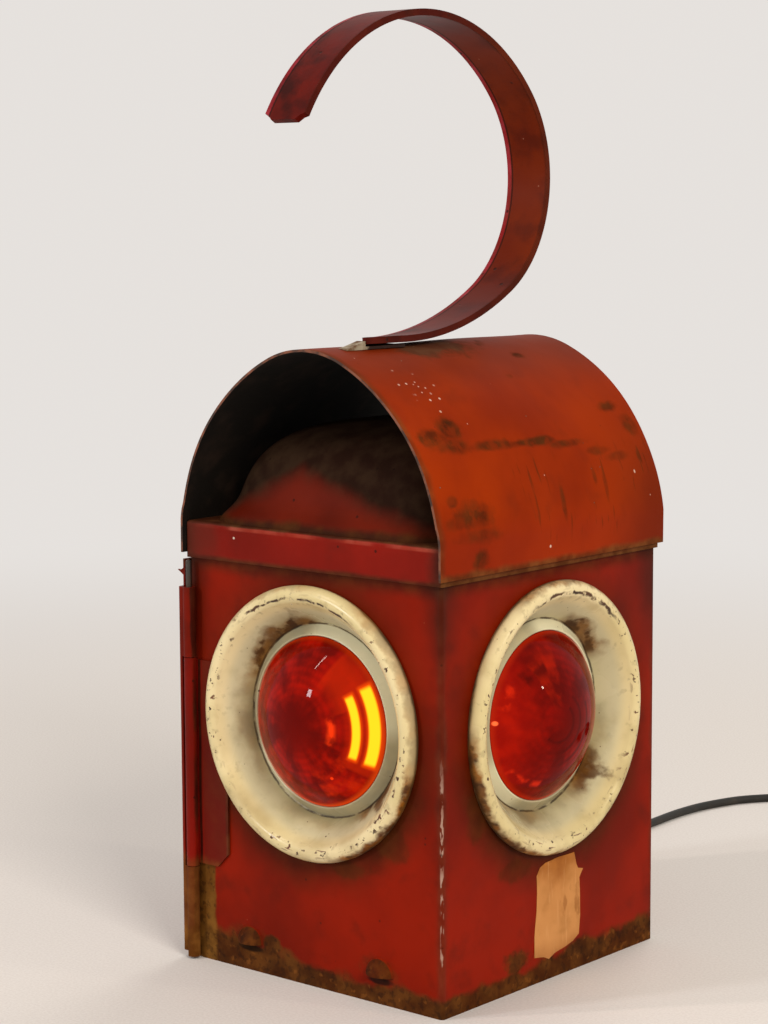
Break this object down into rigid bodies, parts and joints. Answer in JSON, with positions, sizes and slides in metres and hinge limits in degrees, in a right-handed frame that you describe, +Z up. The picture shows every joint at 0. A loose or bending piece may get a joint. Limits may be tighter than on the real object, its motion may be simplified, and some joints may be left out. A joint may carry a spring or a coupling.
{
  "type": "railway hand lamp",
  "caption": "Square sheet-steel railway hand lamp with a hooded lid, dished bezels with red bullseye lenses, a hinged side door, a strap hook and a mains bulb and cord.",
  "frame": {"origin": "centre of the lamp's flat base, on the surface it stands on", "axes": "+Z up; the front lens faces -Y; the second lens faces +X; the door is on -X and the cord leaves towards +Y"},
  "size_m": [0.2488, 0.4352, 0.3854],
  "materials": {
    "body_paint": "worn gloss deep red over steel",
    "hood_paint": "worn orange-red over steel",
    "braze_metal": "pale, dull",
    "cream_enamel": "chipped cream enamel",
    "red_glass": "clear, glossy",
    "bare_steel": "dull, lightly rusted",
    "fitting_brass": "satin",
    "pin_brass": "plated, satin",
    "black_plastic": "satin black",
    "white_plastic": "off-white",
    "lit_glass": "opal, lit",
    "black_rubber": "matt black",
    "cord_sheath": "satin black"
  },
  "bodies": {
    "lamp": {"body_shell": "body_paint", "base_pan": "body_paint", "lid_tray": "body_paint", "vent_dome": "body_paint", "hood": "hood_paint", "hook_handle": "body_paint", "hook_braze": "braze_metal", "bezel_front": "cream_enamel", "bezel_right": "cream_enamel", "lens_ring_front": "cream_enamel", "lens_ring_right": "cream_enamel", "lens_front": "red_glass", "lens_right": "red_glass", "snap_ring_front": "bare_steel", "snap_ring_right": "bare_steel", "hinge_leaf": "body_paint", "hinge_pin": "bare_steel", "lamp_bracket": "bare_steel", "bracket_screws": "bare_steel", "threaded_stem": "fitting_brass", "stem_nuts": "fitting_brass", "lampholder": "black_plastic", "bulb_housing": "white_plastic", "bulb_tubes": "lit_glass", "cable_grommet": "black_rubber", "inner_cord": "cord_sheath", "cord_free": "cord_sheath", "cord_coil": "cord_sheath", "cord_tail": "cord_sheath", "plug_body": "black_plastic", "plug_pins": "pin_brass"},
    "door": {"door_panel": "body_paint", "catch_plate": "bare_steel"},
    "catch": {"catch_knob": "bare_steel", "catch_tongue": "bare_steel"}
  },
  "joints": [
    {"name": "door_hinge", "type": "hinge", "parent": "lamp", "child": "door", "pos_m": [-0.0639, -0.0729, 0.0835], "axis": [0, 0, 1], "range_deg": [0, 110]},
    {"name": "catch_turn", "type": "hinge", "parent": "door", "child": "catch", "pos_m": [-0.0665, 0.046, 0.085], "axis": [1, 0, 0], "range_deg": [0, 90]}
  ]
}
